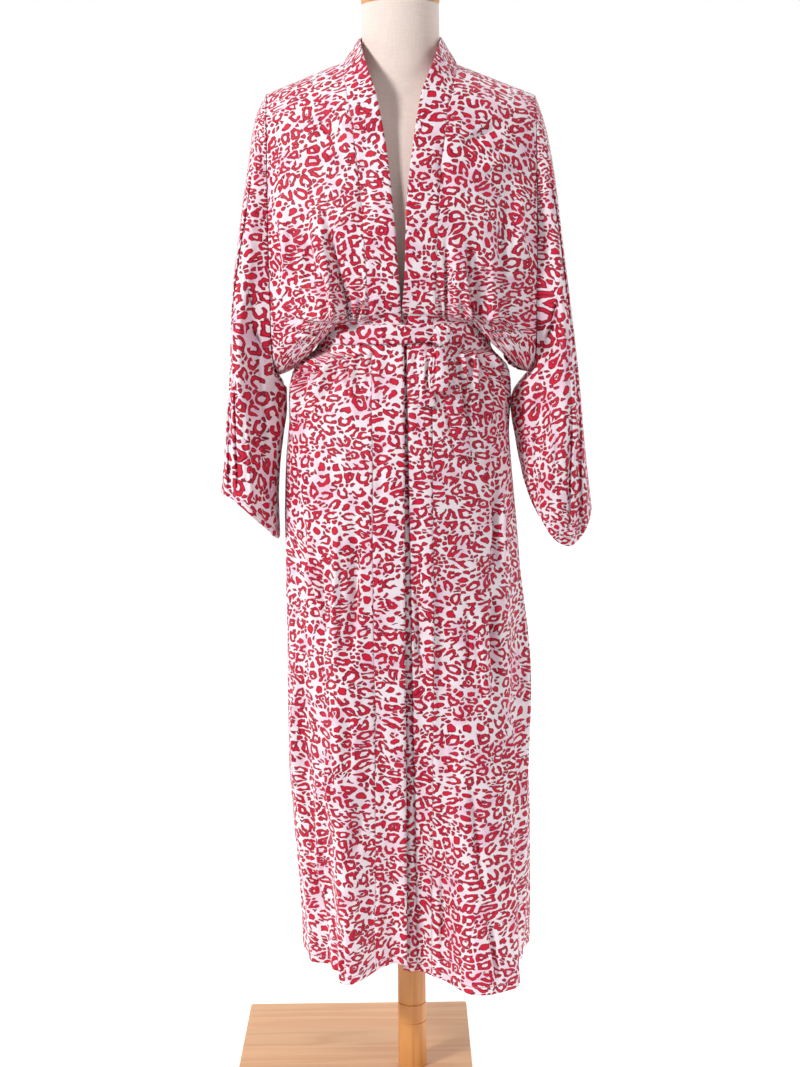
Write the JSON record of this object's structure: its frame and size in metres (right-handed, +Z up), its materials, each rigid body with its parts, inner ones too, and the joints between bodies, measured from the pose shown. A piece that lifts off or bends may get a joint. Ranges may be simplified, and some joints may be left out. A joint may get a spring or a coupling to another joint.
{
  "type": "kimono robe on dress form",
  "caption": "Long open kimono robe with wide sleeves, collar band and knotted tie belt, printed all over, hanging on a limbless dress form on a wooden pole and board.",
  "frame": {"origin": "on the underside of the board, on the axis of the pole", "axes": "+X towards the wearer's left side, +Y towards the back of the robe, +Z up; the front of the robe faces -Y"},
  "size_m": [0.5396, 0.388, 1.6273],
  "materials": {
    "printed_cloth": "soft thin woven cloth with an all-over animal print in crimson on pale pink",
    "linen": "plain matte woven cover",
    "turned_pine": "satin clear coat",
    "board_pine": "pale, planed, thin clear coat"
  },
  "bodies": {
    "root": {"back": "printed_cloth", "front_right": "printed_cloth", "front_left": "printed_cloth", "collar_right": "printed_cloth", "collar_left": "printed_cloth", "collar_neck": "printed_cloth", "sleeve_right": "printed_cloth", "sleeve_left": "printed_cloth", "belt": "printed_cloth", "belt_knot": "printed_cloth", "belt_loop": "printed_cloth", "belt_tail_long": "printed_cloth", "belt_tail_short": "printed_cloth", "form_torso": "linen", "form_neck_cap": "turned_pine", "stand_pole": "turned_pine", "stand_base": "board_pine"}
  },
  "joints": []
}
